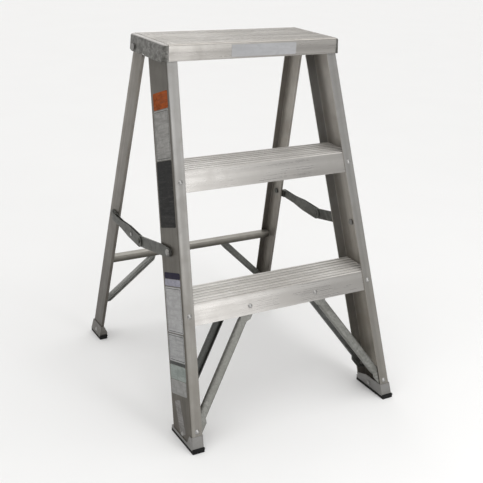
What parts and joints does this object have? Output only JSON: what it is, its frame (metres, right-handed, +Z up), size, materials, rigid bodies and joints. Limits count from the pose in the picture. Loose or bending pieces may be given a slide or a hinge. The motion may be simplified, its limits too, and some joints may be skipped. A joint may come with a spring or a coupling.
{
  "type": "stepladder",
  "caption": "Folding aluminium stepladder with channel rails, ribbed treads, a broad top step, hinged rear legs, folding side spreaders, sheet braces and rubber feet.",
  "frame": {"origin": "on the floor, under the centre of the standing ladder's outline", "axes": "+Z up, -Y towards the climber at the front, +X to the climber's right"},
  "size_m": [0.5526, 0.65, 0.84],
  "materials": {
    "rail_aluminium": "satin mill",
    "tread_aluminium": "satin ribbed",
    "galvanised_sheet": "galvanised",
    "rivet_metal": "satin",
    "shoe_metal": "satin",
    "sole_rubber": "matt"
  },
  "bodies": {
    "front_frame": {"front_rail_left": "rail_aluminium", "front_rail_right": "rail_aluminium", "lower_tread": "tread_aluminium", "upper_tread": "tread_aluminium", "top_step": "tread_aluminium", "top_bracket_left": "galvanised_sheet", "top_bracket_right": "galvanised_sheet", "front_brace_left": "galvanised_sheet", "front_brace_right": "galvanised_sheet", "rear_brace_left": "galvanised_sheet", "rear_brace_right": "galvanised_sheet", "tread_rivets": "rivet_metal", "brace_rivets": "rivet_metal", "bracket_rivets": "rivet_metal", "top_rivets": "rivet_metal", "front_shoe_left": "shoe_metal", "front_shoe_right": "shoe_metal", "front_shoe_bolts": "rivet_metal", "front_sole_left": "sole_rubber", "front_sole_right": "sole_rubber", "leg_pivot_bolts": "rivet_metal", "leg_pivot_spacers": "rivet_metal", "leg_pivot_nuts": "rivet_metal", "spreader_front_rivets": "rivet_metal"},
    "rear_frame": {"rear_leg_left": "rail_aluminium", "rear_leg_right": "rail_aluminium", "rear_crossbar": "rail_aluminium", "rear_diagonal_left": "galvanised_sheet", "rear_diagonal_right": "galvanised_sheet", "rear_frame_rivets": "rivet_metal", "rear_shoe_left": "shoe_metal", "rear_shoe_right": "shoe_metal", "rear_shoe_rivets": "rivet_metal", "rear_sole_left": "sole_rubber", "rear_sole_right": "sole_rubber", "spreader_rear_rivets": "rivet_metal"},
    "front_link_left": {"spreader_front_link_left": "galvanised_sheet", "spreader_elbow_bush_left": "rivet_metal"},
    "front_link_right": {"spreader_front_link_right": "galvanised_sheet", "spreader_elbow_bush_right": "rivet_metal"},
    "rear_link_left": {"spreader_rear_link_left": "galvanised_sheet", "spreader_elbow_rivet_left": "rivet_metal"},
    "rear_link_right": {"spreader_rear_link_right": "galvanised_sheet", "spreader_elbow_rivet_right": "rivet_metal"}
  },
  "joints": [
    {"name": "rear_fold", "type": "hinge", "parent": "front_frame", "child": "rear_frame", "pos_m": [0, 0.10984, 0.812], "axis": [-1, 0, 0], "range_deg": [0, 31]},
    {"name": "front_link_left_turn", "type": "hinge", "parent": "front_frame", "child": "front_link_left", "pos_m": [-0.2515, -0.13523, 0.4035], "axis": [1, 0, 0], "range_deg": [0, 91.34]},
    {"name": "front_link_right_turn", "type": "hinge", "parent": "front_frame", "child": "front_link_right", "pos_m": [0.2515, -0.13523, 0.4035], "axis": [1, 0, 0], "range_deg": [0, 91.34]},
    {"name": "rear_link_left_turn", "type": "hinge", "parent": "rear_frame", "child": "rear_link_left", "pos_m": [-0.2515, 0.20634, 0.382], "axis": [-1, 0, 0], "range_deg": [0, 35.97]},
    {"name": "rear_link_right_turn", "type": "hinge", "parent": "rear_frame", "child": "rear_link_right", "pos_m": [0.2515, 0.20634, 0.382], "axis": [-1, 0, 0], "range_deg": [0, 35.97]}
  ],
  "couplings": [
    {"joint": "front_link_left_turn", "follows": "rear_fold", "ratio": 2.9466},
    {"joint": "front_link_right_turn", "follows": "rear_fold", "ratio": 2.9466},
    {"joint": "rear_link_left_turn", "follows": "rear_fold", "ratio": 1.1603},
    {"joint": "rear_link_right_turn", "follows": "rear_fold", "ratio": 1.1603}
  ]
}
